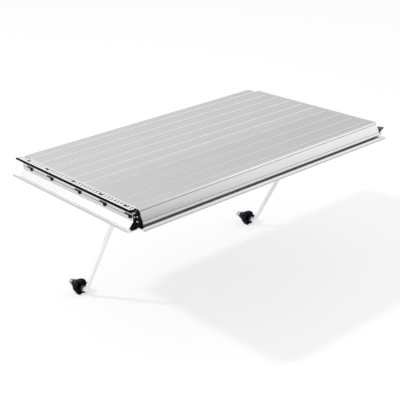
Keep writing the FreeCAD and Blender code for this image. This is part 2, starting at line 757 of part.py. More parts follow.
screw_passages(front, CLIPS, "rail_wall - front_flange", "front_flange + face_out + overrun", True)
screw_passages(rear, SCREWS, "rail_flange - rail_wall", "rail_flange + fascia_out + overrun", False)


def rail_screws(label, face, direction):
    """The screws that pull an end rail against the planks."""
    group(label, [
        socket_screw((across, face, "-channel_level"), direction, "rail_screw_radius", "rail_screw_length",
                     "rail_screw_head_radius", "rail_screw_head_height")
        for across in SCREWS])


rail_screws("front_rail_screws", "-table_length / 2 + front_flange - rail_wall", "y")
rail_screws("rear_rail_screws", "table_length / 2 - rail_flange + rail_wall", "-y")

# Corner caps: mouldings between the rails' ends, bevelled outside and spread at the foot


def outward(points, sign):
    """Pairs of X and distance out as a sketch's own two sums, for an end of the given sign."""
    return [(x, "%s(%s)" % (sign, out)) for x, out in points]


def loft(made, name, levels):
    """A solid with flat sides drawn through plans at different depths."""
    plans = []
    for index, (depth, points) in enumerate(levels):
        drawn = sketch(made, "XY_Plane", "%s_%d" % (name, index), lift="-(%s)" % depth)
        outline(drawn, points)
        plans.append(drawn)
    drawn_through = made.newObject("PartDesign::AdditiveLoft", name)
    drawn_through.Profile = plans[0]
    drawn_through.Sections = plans[1:]
    drawn_through.Ruled = True


def bevel_points(reach, bevel):
    """The two ends of a cap's bevelled corner."""
    return [("(%s) - (%s)" % (reach, bevel), reach), (reach, "(%s) - (%s)" % (reach, bevel))]


# The front cap's seam with the rail leans inwards, then runs straight out.
SEAM_X = "(front_end_reach + contact_gap)"
SEAM_SLOPE = "((front_end_reach + cap_tip_inset) / (cap_seam_out + end_gap))"


def front_cap_level(spread, ahead, aside, reach):
    """Plan of the front cap at one depth, its seam shifted towards the saw by a spread."""
    return outward([
        ("-cap_tip_inset + contact_gap", "-end_gap"),
        ("%s - %s" % (SEAM_X, spread), "cap_seam_out - %s / %s" % (spread, SEAM_SLOPE)),
        ("%s - %s" % (SEAM_X, spread), ahead)] + bevel_points(reach, "cap_bevel") + [(aside, "-end_gap")], "-")


front_cap = body("front_corner_cap", x="table_width", y="-table_length / 2")
SHOULDER = front_cap_level("0", "cap_front_reach", "cap_side_reach", "cap_reach")
loft(front_cap, "front_corner_cap_shell", [
    ("cap_shoulder_depth", SHOULDER),
    ("cap_waist_depth", front_cap_level("0", "cap_front_reach", "cap_side_waist", "cap_reach")),
    ("cap_foot_depth",
     front_cap_level("cap_foot_spread", "cap_front_foot", "cap_side_foot", "cap_reach + cap_bevel / 2"))])
arch = sketch(front_cap, "XY_Plane", "front_corner_cap_arch", lift="-cap_foot_depth")
HALF_ARCH = "cap_arch_width / 2"
outline(arch, [("-" + HALF_ARCH, "-end_gap"), (HALF_ARCH, "end_gap"),
               ("2 * cap_reach + " + HALF_ARCH, "-2 * cap_reach"),
               ("2 * cap_reach - " + HALF_ARCH, "-2 * cap_reach - " + HALF_ARCH)])
pocket(front_cap, arch, "cap_foot_depth - cap_arch_depth", backwards=True)
PEAK = "-cap_peak_inset"
loft(front_cap, "front_corner_cap_peak", [
    ("cap_shoulder_depth", SHOULDER[:2] + SHOULDER[3:]),
    ("carrier_thickness", [
        (PEAK, "end_gap"), ("-cap_peak_width", "-cap_peak_width / 2"), ("cap_peak_width", "-cap_side_reach"),
        ("cap_side_reach", "-cap_peak_width / 2"), ("cap_peak_width / 4", "end_gap")]),
    ("0", [
        (PEAK, "end_gap"), (PEAK + " + contact_gap", "end_gap - cap_peak_width / 2"),
        (PEAK + " + cap_peak_width / 2", "end_gap - cap_peak_width"),
        (PEAK + " + cap_peak_width", "end_gap - cap_peak_width / 2"),
        (PEAK + " + cap_peak_width + contact_gap", "end_gap")])])

rear_cap = body("rear_corner_cap", x="table_width", y="table_length / 2")
loft(rear_cap, "rear_corner_cap_shell", [
    ("cap_rear_top", outward(
        [("-end_gap", "-end_gap"), ("-end_gap", "cap_rear_ahead")] + bevel_points("cap_rear_reach", "cap_bevel")
        + [("cap_side_waist", "-end_gap")], "")),
    ("cap_rear_bottom", outward(
        [("-end_gap", "-end_gap"), ("-end_gap", "cap_rear_ahead / 2")]
        + bevel_points("cap_bevel", "cap_bevel / 2") + [("cap_side_reach", "-end_gap")], ""))])

# Scale along the operator's end: a black carrier, a pale strip let into it, and their screws

SCALE_END = "table_width - scale_end_gap"


def bar_with_round_end(made, name, back, out, end, thickness, radius):
    """A long flat bar, square at the saw and rounded at its other end."""
    plan = sketch(made, "XY_Plane", name)
    rectangle(plan, "-scale_overhang", "-(%s)" % out, end, back)
    blank = pad(made, plan, thickness, backwards=True)
    limit = "min(%s; round_end_share * (%s + %s))" % (radius, out, back)
    rounded(made, blank, name + "_round", limit, "z", [(end, "-(%s)" % out), (end, back)])


carrier = body("scale_carrier", y="-table_length / 2")
bar_with_round_end(carrier, "scale_carrier_plan", "carrier_back", "carrier_out", SCALE_END,
                   "carrier_thickness", "carrier_radius")
seat = sketch(carrier, "XY_Plane", "scale_carrier_seat")
rectangle(seat, "-scale_overhang - overrun", "-strip_out - contact_gap",
          SCALE_END + " - strip_rim + contact_gap", "strip_back + contact_gap")
pocket(carrier, seat, "strip_thickness + strip_drop")
carrier_holes = sketch(carrier, "XY_Plane", "scale_carrier_holes")
deck_holes = sketch(front, "XY_Plane", "front_rail_deck_holes", lift="-carrier_thickness")
for across in FIXINGS:
    circle(carrier_holes, across, "-slot_out", "scale_screw_radius + contact_gap")
    circle(deck_holes, across + " - rail_start", "-slot_out", "scale_screw_radius + contact_gap")
pocket(carrier, carrier_holes, "carrier_thickness + overrun")
pocket(front, deck_holes, "rail_wall + overrun")

strip = body("scale_strip", y="-table_length / 2", z="-strip_drop")
bar_with_round_end(strip, "scale_strip_plan", "strip_back", "strip_out", SCALE_END + " - strip_rim",
                   "strip_thickness", "strip_radius")
slots = sketch(strip, "XY_Plane", "scale_strip_slots")
for across in FIXINGS:
    rectangle(slots, across + " - slot_length / 2", "-slot_out - slot_width / 2",
              across + " + slot_length / 2", "-slot_out + slot_width / 2")
pocket(strip, slots, "strip_thickness + overrun")

group("scale_screws", [
    socket_screw((across, "-table_length / 2 - slot_out", "-strip_thickness - strip_drop"), "-z",
                 "scale_screw_radius", "scale_screw_length", "scale_screw_head", "strip_thickness")
    for across in FIXINGS])

# Second scale on the rail's front face, and the clips that hold it and close the access holes

face_strip = body("front_scale_strip", x="rail_start", y="-table_length / 2")
face_plan = sketch(face_strip, "XZ_Plane", "front_scale_strip_plan", lift="face_out")
rectangle(face_plan, "0", "-front_strip_bottom", FRONT_END, "-front_strip_top")
pad(face_strip, face_plan, "front_strip_thickness")
face_holes = sketch(face_strip, "XZ_Plane", "front_scale_strip_holes", lift="face_out")
for across in CLIPS:
    circle(face_holes, across + " - rail_start", "-channel_level", "access_radius")
pocket(face_strip, face_holes, "front_strip_thickness + overrun", backwards=True)


def clip(across):
    """A clip: a wedge with a bar towards the saw, and a plug that fits the access hole."""
    made = doc.addObject("PartDesign::Body", "clip")
    bind(made, Placement__Base__x=across, Placement__Base__y="-table_length / 2")
    face = "face_out + front_strip_thickness"
    half = "clip_width / 2"
    plan = sketch(made, "XZ_Plane", "clip_plan", lift=face)
    outline(plan, [("-%s - clip_bar_reach" % half, "-clip_top"), (half, "-clip_top"),
                   (half, "-clip_top - clip_bar_height"), ("0", "-clip_bottom"), ("-" + half, "-clip_bottom"),
                   ("-" + half, "-clip_top - clip_bar_height"),
                   ("-%s - clip_bar_reach" % half, "-clip_top - clip_bar_height")])
    pad(made, plan, "clip_thickness")
    plug = sketch(made, "XZ_Plane", "clip_plug", lift=face)
    circle(plug, "0", "-channel_level", "access_radius - contact_gap")
    pad(made, plug, "clip_plug_length", backwards=True)
    return made


group("scale_clips", [clip(across) for across in CLIPS])

# Blocks behind the saw-side edge, which take the two bolts from the saw, and their screws


def saw_block(label, y):
    """A block with a bolt's bore, and room behind its wall for the bolt's nut."""
    made = body(label, x="plank_web", y=y)
    plan = sketch(made, "XY_Plane", label + "_plan", lift="-plank_skin")
    rectangle(plan, "0", "-saw_block_length / 2", "saw_block_width", "saw_block_length / 2")
    pad(made, plan, "plank_depth - plank_skin", backwards=True)
    nut_room = sketch(made, "XZ_Plane", label + "_nut_room")
    rectangle(nut_room, "saw_block_wall", "-plank_depth - overrun",
              "saw_block_width + overrun", "-plank_skin - saw_block_roof")
    pocket(made, nut_room, "saw_block_length + overrun", symmetric=True)
    bore = sketch(made, "YZ_Plane", label + "_bore")
    circle(bore, "0", "-top_above_bolts", "bolt_radius")
    pocket(made, bore, "3 * saw_block_width", symmetric=True)
    thread = sketch(made, "XY_Plane", label + "_thread", lift="-plank_skin")
    circle(thread, "top_screw_inset - plank_web", "0", "top_screw_radius + contact_gap")
    pocket(made, thread, "top_screw_length - plank_skin + contact_gap")


def sunk_screw(spot):
    """A screw with a tapered head, flush with the table's top."""
    head = taper(spot, "-z", "top_screw_head_radius", "top_screw_radius", "top_screw_head_height")
    shank = bar(spot, "-z", "top_screw_radius", "top_screw_length")
    socket = hexagon(shifted(spot, "-z", "-overrun"), "-z", "min(socket_radius; top_screw_head_radius / 2)",
                     "socket_share * top_screw_head_height + overrun")
    return cut(joined(head, shank), socket)


saw_block("saw_block_front", "-" + SAW_BLOCK_OFFSET)
saw_block("saw_block_rear", SAW_BLOCK_OFFSET)
group("saw_block_screws", [
    sunk_screw(("top_screw_inset", offset, "0")) for offset in ("-" + SAW_BLOCK_OFFSET, SAW_BLOCK_OFFSET)])

# Struts: each a bent rod with a flattened eye, its bracket, its pivot bolt and its clamp

BEND_TANGENT = "bend_radius * tan((90 - strut_lean) / 2)"
BEND_X = "(-strut_reach * sin(strut_lean))"
BEND_Z = "(-strut_reach * cos(strut_lean))"
SHOULDER_X = "(%s - shoulder_from_bend)" % BEND_X
KNOB_X = "(%s - hub_nut_height - hub_gap)" % SHOULDER_X
WASHER_X = "(%s - knob_length - insert_flange)" % KNOB_X
TIP_DISC_X = "(%s - washer_thickness - clamp_gap)" % WASHER_X
STUD_END_X = "(%s - tip_disc_thickness)" % TIP_DISC_X
PLATE_LOW = "pivot_drop - plank_depth - bracket_plate"
EAR_INNER = "(eye_thickness / 2 + ear_gap)"
EAR_OUTER = "(eye_thickness / 2 + ear_gap + ear_thickness)"


def down_rod(distance, aside="0"):
    """A point down the leaning rod from the pivot, set aside towards the table's outer side."""
    return ("-(%s) * sin(strut_lean) + (%s) * cos(strut_lean)" % (distance, aside),
            "-(%s) * cos(strut_lean) - (%s) * sin(strut_lean)" % (distance, aside))


def rod_route(made, name):
    """The rod's centre line: down the lean, round the bend and along the stud's axis."""
    route = sketch(made, "XZ_Plane", name)
    ends = [down_rod("rod_start"), down_rod("strut_reach - " + BEND_TANGENT),
            ("%s - %s" % (BEND_X, BEND_TANGENT), BEND_Z), (SHOULDER_X, BEND_Z)]
    spots = [FreeCAD.Vector(value(u), value(v), 0) for u, v in ends]
    centre = spots[2] + FreeCAD.Vector(0, value("bend_radius"), 0)
    whole = Part.Circle(centre, FreeCAD.Vector(0, 0, 1), value("bend_radius"))
    route.addGeometry(Part.LineSegment(spots[0], spots[1]))
    route.addGeometry(Part.ArcOfCircle(whole, math.radians(270), math.radians(360 - value("strut_lean"))))
    route.addGeometry(Part.LineSegment(spots[2], spots[3]))
    route.addConstraint(Sketcher.Constraint("Coincident", 0, 2, 1, 2))
    route.addConstraint(Sketcher.Constraint("Coincident", 1, 1, 2, 1))
    for geometry, position, (u, v) in ((0, 1, ends[0]), (0, 2, ends[1]), (2, 1, ends[2]), (2, 2, ends[3])):
        pin_point(route, geometry, position, u, v)
    radius = route.addConstraint(Sketcher.Constraint("Radius", 1, value("bend_radius")))
    route.setExpression("Constraints[%d]" % radius, bound("bend_radius"))
    return route


def strut(label, y):
    """One strut, counted from its pivot."""
    made = body(label, x=PIVOT_X, y=y, z="-pivot_drop")
    route = rod_route(made, label + "_route")
    section = sketch(made, "XY_Plane", label + "_section")
    section.AttachmentOffset = FreeCAD.Placement(
        FreeCAD.Vector(), FreeCAD.Rotation(FreeCAD.Vector(0, 1, 0), value("strut_lean")))
    start_x, start_z = down_rod("rod_start")
    bind(section, AttachmentOffset__Base__x=start_x, AttachmentOffset__Base__z=start_z,
         AttachmentOffset__Rotation__Angle="strut_lean")
    circle(section, "0", "0", "rod_radius")
    rod = made.newObject("PartDesign::AdditivePipe", label + "_rod")
    rod.Profile = section
    rod.Spine = (route, ["Edge1", "Edge2", "Edge3"])
    stud = sketch(made, "YZ_Plane", label + "_stud", lift=SHOULDER_X)
    circle(stud, "0", BEND_Z, "stud_radius")
    pad(made, stud, "%s - %s" % (SHOULDER_X, STUD_END_X), backwards=True)
    eye = sketch(made, "XZ_Plane", label + "_eye")
    circle(eye, "0", "0", "eye_radius")
    pad(made, eye, "eye_thickness", symmetric=True)
    flat = sketch(made, "XZ_Plane", label + "_flat")
    outline(flat, [down_rod("0", "-eye_flat_width / 2"), down_rod("0", "eye_flat_width / 2"),
                   down_rod("rod_start", "eye_flat_width / 2"), down_rod("eye_flat_length", "rod_radius / 2"),
                   down_rod("eye_flat_length", "-rod_radius / 2"), down_rod("rod_start", "-eye_flat_width / 2")])
    pad(made, flat, "eye_thickness", symmetric=True)
    heel = sketch(made, "XZ_Plane", label + "_heel")
    rectangle(heel, "0", "0", "heel_reach", PLATE_LOW + " - heel_gap")
    pad(made, heel, "eye_thickness", symmetric=True)
    hole = sketch(made, "XZ_Plane", label + "_pivot_hole")
    circle(hole, "0", "0", "pivot_radius + running_gap")
    pocket(made, hole, "2 * eye_thickness", symmetric=True)


def bracket(label, y):
    """The bracket of one strut: a plate under the planks with two ears round the eye."""
    made = body(label, x=PIVOT_X, y=y, z="-pivot_drop")
    saw_screw = LAST_INNER_RIB + " - " + PIVOT_X
    outer_screw = FIRST_OUTER_RIB + " - " + PIVOT_X
    plate = sketch(made, "XY_Plane", label + "_plate", lift="pivot_drop - plank_depth")
    rectangle(plate, saw_screw + " - bracket_margin", "-bracket_half_width",
              outer_screw + " + bracket_margin", "bracket_half_width")
    pad(made, plate, "bracket_plate", backwards=True)
    ears = sketch(made, "XZ_Plane", label + "_ears")
    outline(ears, [("-ear_root", PLATE_LOW), ("ear_root", PLATE_LOW), ("ear_radius", "0"), ("-ear_radius", "0")])
    pad(made, ears, "2 * " + EAR_OUTER, symmetric=True)
    noses = sketch(made, "XZ_Plane", label + "_noses")
    circle(noses, "0", "0", "ear_radius")
    pad(made, noses, "2 * " + EAR_OUTER, symmetric=True)
    gap = sketch(made, "XZ_Plane", label + "_gap")
    rectangle(gap, "-ear_root - overrun", "-ear_radius - overrun", "ear_root + overrun", PLATE_LOW)
    pocket(made, gap, "2 * " + EAR_INNER, symmetric=True)
    hole = sketch(made, "XZ_Plane", label + "_pivot_hole")
    circle(hole, "0", "0", "pivot_radius + contact_gap")
    pocket(made, hole, "3 * " + EAR_OUTER, symmetric=True)
    screw_holes = sketch(made, "XY_Plane", label + "_screw_holes", lift="pivot_drop - plank_depth")
    for across in (saw_screw, outer_screw):
        for spread in ("-bracket_screw_spread", "bracket_screw_spread"):
            circle(screw_holes, across, spread, "bracket_screw_radius + contact_gap")
    pocket(made, screw_holes, "bracket_plate + overrun")


def bracket_screws(label, y):
    """The four screws that hold a bracket to the feet of two ribs."""
    group(label, [
        socket_screw((across, y + spread, "-plank_depth - bracket_plate"), "z", "bracket_screw_radius",
                     "bracket_plate + rib_foot_thickness", "bracket_screw_head_radius", "bracket_screw_head_height")
        for across in (LAST_INNER_RIB, FIRST_OUTER_RIB)
        for spread in (" - bracket_screw_spread", " + bracket_screw_spread")])


def pivot_bolt(label, nut_label, y):
    """A hexagon bolt through the ears and the eye, with its lock nut."""
    near = (PIVOT_X, "%s - %s" % (y, EAR_OUTER), "-pivot_drop")
    far = (PIVOT_X, "%s + %s" % (y, EAR_OUTER), "-pivot_drop")
    head = hexagon(shifted(near, "y", "-bolt_head_height"), "y", "hex_radius", "bolt_head_height")
    shank = bar(near, "y", "pivot_radius", "2 * %s + pivot_nut_height + bolt_tail" % EAR_OUTER)
    finished(joined(head, shank), label)
    blank = hexagon(far, "y", "hex_radius", "pivot_nut_height")
    finished(bored(blank, far, "y", "pivot_radius + contact_gap", "pivot_nut_height"), nut_label)


def on_stud(x, y):
    """A point on the stud's axis, with x counted from the pivot."""
    return (PIVOT_X + " + " + x, y, "%s - pivot_drop" % BEND_Z)


def knob(label, y):
    """The knob, turned about the stud's axis and notched, counted from its outer face."""
    made = body(label, x=PIVOT_X + " + " + KNOB_X, y=y, z="%s - pivot_drop" % BEND_Z)
    half = sketch(made, "XZ_Plane", label + "_half")
    outer_side = [("-knob_length * %s" % along, "knob_radius * %s" % radius) for along, radius in KNOB_SHARES]
    outline(half, [(outer_side[0][0], "knob_clear_bore")] + outer_side + [
        ("-knob_length", "insert_radius + contact_gap"),
        ("-knob_length + insert_length", "insert_radius + contact_gap"),
        ("-knob_length + insert_length", "knob_clear_bore")])
    turned = made.newObject("PartDesign::Revolution", label + "_turned")
    turned.Profile = half
    turned.ReferenceAxis = (half, ["H_Axis"])
    turned.Angle = 360
    notch = sketch(made, "YZ_Plane", label + "_notch")
    circle(notch, "0", "knob_radius + notch_radius - notch_inset", "notch_radius")
    ring_of(made, pocket(made, notch, "knob_length * notch_share"), notch, "lobe_count")
    flute = sketch(made, "YZ_Plane", label + "_flute", lift="-knob_length")
    circle(flute, "0", "knob_radius * flute_level_share + flute_radius - flute_inset", "flute_radius")
    ring_of(made, pocket(made, flute, "knob_length * flute_share", backwards=True), flute, "lobe_count")


def clamp(side, y):
    """What sits on the stud: hub nut, knob with its threaded insert, pressure washer and tip disc."""
    bore = "stud_radius + contact_gap"
    spot = on_stud(SHOULDER_X, y)
    finished(bored(hexagon(spot, "-x", "hex_radius", "hub_nut_height"), spot, "-x", bore, "hub_nut_height"),
             "hub_nut_" + side)
    knob("knob_" + side, y)
    spot = on_stud(KNOB_X + " - knob_length + insert_length", y)
    sleeve = bar(spot, "-x", "insert_radius", "insert_length")
    flange = bar(shifted(spot, "-x", "insert_length"), "-x", "insert_flange_radius", "insert_flange")
    finished(bored(joined(sleeve, flange), spot, "-x", "stud_radius + running_gap",
                   "insert_length + insert_flange"), "knob_insert_" + side)
    spot = on_stud(WASHER_X, y)
    finished(bored(bar(spot, "-x", "washer_radius", "washer_thickness"), spot, "-x",
                   "stud_radius + running_gap", "washer_thickness"), "pressure_washer_" + side)
    spot = on_stud(TIP_DISC_X, y)
    finished(bored(bar(spot, "-x", "tip_disc_radius", "tip_disc_thickness"), spot, "-x", bore,
                   "tip_disc_thickness"), "tip_disc_" + side)


for side_name, offset in (("front", "-" + STRUT_OFFSET), ("rear", STRUT_OFFSET)):
    strut("strut_" + side_name, offset)
    bracket("strut_bracket_" + side_name, offset)
    bracket_screws("bracket_screws_" + side_name, offset)
    pivot_bolt("pivot_bolt_" + side_name, "pivot_nut_" + side_name, offset)
    clamp(side_name, offset)

doc.recompute()
troubled = [thing.Name for thing in doc.Objects if "Invalid" in thing.State or "Error" in thing.State]
if troubled:
    raise ValueError("failed: " + ", ".join(troubled))
for label, thing in nodes.items():
    if thing.Shape.isNull() or not thing.Shape.isValid():
        raise ValueError(label + " has no valid shape")
for label, thing in nodes.items():
    thing.Shape.exportStep("parts/%s.step" % label)
print("%d sub-parts written" % len(nodes))
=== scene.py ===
import math

import bmesh
import bpy
import numpy as np
from mathutils import Matrix, Vector


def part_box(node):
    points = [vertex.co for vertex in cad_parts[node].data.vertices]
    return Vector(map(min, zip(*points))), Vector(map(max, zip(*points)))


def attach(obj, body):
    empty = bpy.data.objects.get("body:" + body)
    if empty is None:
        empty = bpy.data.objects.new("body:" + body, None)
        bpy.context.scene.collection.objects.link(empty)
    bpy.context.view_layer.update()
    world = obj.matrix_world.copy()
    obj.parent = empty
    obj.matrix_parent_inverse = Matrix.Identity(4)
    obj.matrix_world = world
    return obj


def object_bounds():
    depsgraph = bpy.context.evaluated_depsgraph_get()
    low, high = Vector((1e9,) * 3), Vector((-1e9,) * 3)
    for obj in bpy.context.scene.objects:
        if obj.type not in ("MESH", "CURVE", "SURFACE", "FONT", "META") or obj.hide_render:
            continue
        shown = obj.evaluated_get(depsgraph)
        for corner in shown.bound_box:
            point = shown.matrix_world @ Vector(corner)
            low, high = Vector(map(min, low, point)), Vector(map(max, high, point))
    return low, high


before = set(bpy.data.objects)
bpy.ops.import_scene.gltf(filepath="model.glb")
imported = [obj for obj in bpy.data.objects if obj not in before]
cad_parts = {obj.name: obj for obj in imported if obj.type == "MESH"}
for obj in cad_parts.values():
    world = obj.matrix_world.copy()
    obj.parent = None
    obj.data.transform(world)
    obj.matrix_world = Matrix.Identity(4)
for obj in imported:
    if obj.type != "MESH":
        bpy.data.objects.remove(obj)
CAD_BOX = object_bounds()


# Planks: two aluminium extrusions that carry the work, clear anodised over a fine brushed grain
# that runs the length of the table. The guide grooves are planed in later and stay brighter. Their
# floors are painted full white against the shade in them, and a painted highlight runs along each.
# The sawn ends show the marks of the blade.

class Flow:
    """A value that runs through a material's nodes. Sums and products of flows add Math nodes."""

    def __init__(self, tree, socket):
        self.tree = tree
        self.socket = socket

    def node(self, kind, settings=(), sockets=(), output=0):
        """One more node: its settings are made first, then its sockets get values or links."""
        made = self.tree.nodes.new(kind)
        for name, setting in dict(settings).items():
            if name == "stops":
                ramp = made.color_ramp
                ramp.elements[0].position, ramp.elements[0].color = setting[0]
                ramp.elements[1].position, ramp.elements[1].color = setting[-1]
                for position, colour in setting[1:-1]:
                    ramp.elements.new(position).color = colour
            else:
                setattr(made, name, setting)
        for name, given in dict(sockets).items():
            if isinstance(given, Flow):
                self.tree.links.new(given.socket, made.inputs[name])
            else:
                made.inputs[name].default_value = given
        return Flow(self.tree, made.outputs[output] if made.outputs else None)

    def maths(self, operation, *others):
        """This flow put through a Math node, with other flows or numbers after it."""
        return self.node("ShaderNodeMath", {"operation": operation}, dict(enumerate((self,) + others)))

    def into(self, name):
        """Link this flow to a socket of the material's shader."""
        self.tree.links.new(self.socket, self.tree.nodes["Principled BSDF"].inputs[name])

    def __add__(self, other):
        return self.maths("ADD", other)

    def __sub__(self, other):
        return self.maths("SUBTRACT", other)

    def __rsub__(self, other):
        return self.node("ShaderNodeMath", {"operation": "SUBTRACT"}, {0: other, 1: self})

    def __mul__(self, other):
        return self.maths("MULTIPLY", other)

    def __lt__(self, other):
        return self.maths("LESS_THAN", other)

    def __gt__(self, other):
        return self.maths("GREATER_THAN", other)

    def __abs__(self):
        return self.maths("ABSOLUTE")

    __radd__ = __add__
    __rmul__ = __mul__


def surface(name, **constants):
    """A new material. Returns it and the flow of the object's own coordinates, in metres."""
    made = bpy.data.materials.new(name)
    made.use_nodes = True
    shader = made.node_tree.nodes["Principled BSDF"]
    for word, constant in constants.items():
        shader.inputs[word.replace("_", " ")].default_value = constant
    start = Flow(made.node_tree, None)
    return made, start.node("ShaderNodeTexCoord", output="Object")


def grey(level, warmth=0.0):
    """A neutral colour of that linear level, a little warmer or cooler."""
    return (level * (1 + warmth), level, level * (1 - warmth), 1.0)


def noise(spot, scale, detail=2.0, roughness=0.5):
    """Noise whose grains are one over the scale long, in metres. The scale is one number, or one for
    each axis. More detail adds finer grains, and more roughness makes those stronger."""
    scale = np.broadcast_to(scale, 3).tolist()
    stretched = spot.node("ShaderNodeVectorMath", {"operation": "MULTIPLY"}, {0: spot, 1: scale})
    return spot.node("ShaderNodeTexNoise", {},
                     {"Vector": stretched, "Scale": 1.0, "Detail": detail, "Roughness": roughness})


def blend(mask, low, high):
    """The low colour where the mask is 0 and the high colour where it is 1."""
    return mask.node("ShaderNodeMix", {"data_type": "RGBA"}, {0: mask, 6: low, 7: high}, output=2)


def between(value, low, high):
    """0 up to the low value and 1 from the high one on, with a straight ramp from one to the other."""
    return value.node("ShaderNodeMapRange", {"clamp": True}, {0: value, 1: low, 2: high, 3: 0.0, 4: 1.0})


def bump(height, distance, strength=1.0):
    """Press a relief of that many metres into the surface."""
    sockets = {"Height": height, "Distance": distance, "Strength": strength}
    height.node("ShaderNodeBump", {}, sockets).into("Normal")


def axes(spot):
    """The three coordinates as separate flows."""
    return [spot.node("ShaderNodeSeparateXYZ", {}, {0: spot}, output=word) for word in "XYZ"]


def facing(spot, axis):
    """How squarely the surface faces along an axis, from 0 to 1."""
    normal = spot.node("ShaderNodeTexCoord", output="Normal")
    return abs(normal.node("ShaderNodeSeparateXYZ", {}, {0: normal}, output=axis))


def wear(material, *names):
    """Give CAD pieces this material."""
    for name in names:
        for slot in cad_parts[name].material_slots:
            slot.material = material


SQUARE_ON = 0.94
SAW_MARK_WIDTH, SAW_MARK_LEAN, SAW_MARK_RELIEF = 0.0011, 900.0, 0.4
LINE_DEPTH = 0.00003

# Grains to the metre, across the die lines and the broader bands and along them.
LINES_ACROSS, LINES_ALONG = 1500.0, 9.0
BANDS_ACROSS, BANDS_ALONG = 70.0, 0.9


def extruded(name, axis, roughness, grain):
    """An extrusion's metal: die lines and broader bands run along one axis, and the ends are sawn
    across it. Returns the material, its coordinates and its tone, which runs from 0 to 1."""
    made, spot = surface(name, Metallic=1.0)
    along = "XYZ".index(axis)
    line_scale, band_scale = [LINES_ACROSS] * 3, [BANDS_ACROSS] * 3
    line_scale[along], band_scale[along] = LINES_ALONG, BANDS_ALONG
    lines = noise(spot, line_scale, detail=4.0, roughness=0.62)
    bands = noise(spot, band_scale)
    tone = between(lines * 0.55 + bands * 0.45, 0.3, 0.7)
    end = facing(spot, axis) > SQUARE_ON
    x, y, z = axes(spot)
    across = x if axis == "Y" else y
    marks = (across * (math.tau / SAW_MARK_WIDTH) + z * SAW_MARK_LEAN).maths("SINE")
    relief = lines * (1 - end) * grain + marks * end * SAW_MARK_RELIEF
    ((lines - 0.5) * 0.16 + roughness + end * 0.08).into("Roughness")
    bump(relief, LINE_DEPTH)
    return made, spot, tone


def toned(tone, level, contrast):
    """A grey that follows the extrusion's tone."""
    return blend(tone, grey(level * (1 - contrast)), grey(level * (1 + contrast)))


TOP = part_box("inner_plank")[1].z
GROOVE_PITCH, FIRST_GROOVE = 0.040, 0.025
GROOVE_SKIN, GROOVE_DEPTH = 0.00012, 0.0014
HIGHLIGHT_WIDTH = 0.0034
BRUSHED_CONTRAST = 0.05


def strokes(along, period, width):
    """1 on strokes of that width at each whole multiple of the period."""
    return along.maths("PINGPONG", period / 2) < width / 2


def plank_metal(node, level, highlight_level):
    """A plank's finish: brushed, with bright planed grooves whose floors are painted white against their
    shade, and a painted highlight along each.
    """
    made, spot, tone = extruded("anodised_" + node, "Y", roughness=0.42, grain=0.5)
    x, _, z = axes(spot)
    depth = TOP - z
    on_top = depth < GROOVE_DEPTH
    # Painted highlights: the groove's floor is white, and a band along it takes the highlight's grey.
    groove = between(depth, GROOVE_SKIN, 2 * GROOVE_SKIN) * on_top
    band = strokes(x - FIRST_GROOVE, GROOVE_PITCH, HIGHLIGHT_WIDTH) * on_top
    field = toned(tone, level, BRUSHED_CONTRAST)
    blend(groove, blend(band, field, grey(highlight_level)), grey(1.0)).into("Base Color")
    wear(made, node)


plank_metal("inner_plank", level=0.68, highlight_level=1.0)
# Painted shade: the outer plank is a little darker, with dimmer highlights beside its grooves.
plank_metal("outer_plank", level=0.655, highlight_level=0.76)


# Rails: thin-walled extrusions along three sides, etched to a brighter satin than the planks except
# on top, where they are brushed with them. Their narrow steps, seams and gutters are painted dark as
# painted shade, and the lips' undersides and the front rail's face are painted darker as painted
# shade. Painted highlights lie along the outer and rear rails' band under the seam, gutters' upper
# walls and lips' tops. The outer rail's top edge carries a painted highlight, and painted shade
# darkens its fascia towards the foot and near the operator.

FLANGE = 0.011
CARRIER_OUT = 0.0136
EDGE_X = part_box("outer_plank")[1].x + FLANGE
END_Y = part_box("outer_plank")[1].y + FLANGE
FRONT_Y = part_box("scale_carrier")[0].y + CARRIER_OUT

RAIL_ROUGHNESS, RAIL_GRAIN = 0.34, 0.35
ETCHED, ETCHED_CONTRAST = 0.90, 0.02
# Greys for a rail's section: the planks' brushed tone, also used as painted shade on the front face; a
# painted highlight; painted shade on the lips' undersides, in the seams, in the gutters and, nearly black,
# in the steps and gaps.
BRUSHED_AND_SHADED, PAINTED_BRIGHT, SHADED_UNDERSIDE, IN_SEAM, IN_GUTTER, IN_SHADOW = 0.67, 1.0, 0.60, 0.45, 0.52, 0.03

# The outer rail's painted highlights grow, and its fascia's painted shade fades, from the first of
# these places along it to the second. Across its top a painted highlight brightens towards the edge,
# and the edge band stands below it, down to the band's foot, painted brighter as a highlight. The
# fascia's painted shade deepens from the face's top to its foot.
BRIGHT_FROM, BRIGHT_BY = -0.335, -0.06
SHOULDER = (-0.0068, -0.0012)
EDGE_SKIN, BAND_FOOT = 0.0002, 0.0026
EDGE_NEAR, EDGE_FAR = 0.6, 1.0
FACE_TOP, FACE_FOOT = 0.0072, 0.0185
FASCIA_NEAR, FASCIA_FAR = (0.97, 0.75), (1.0, 0.93)

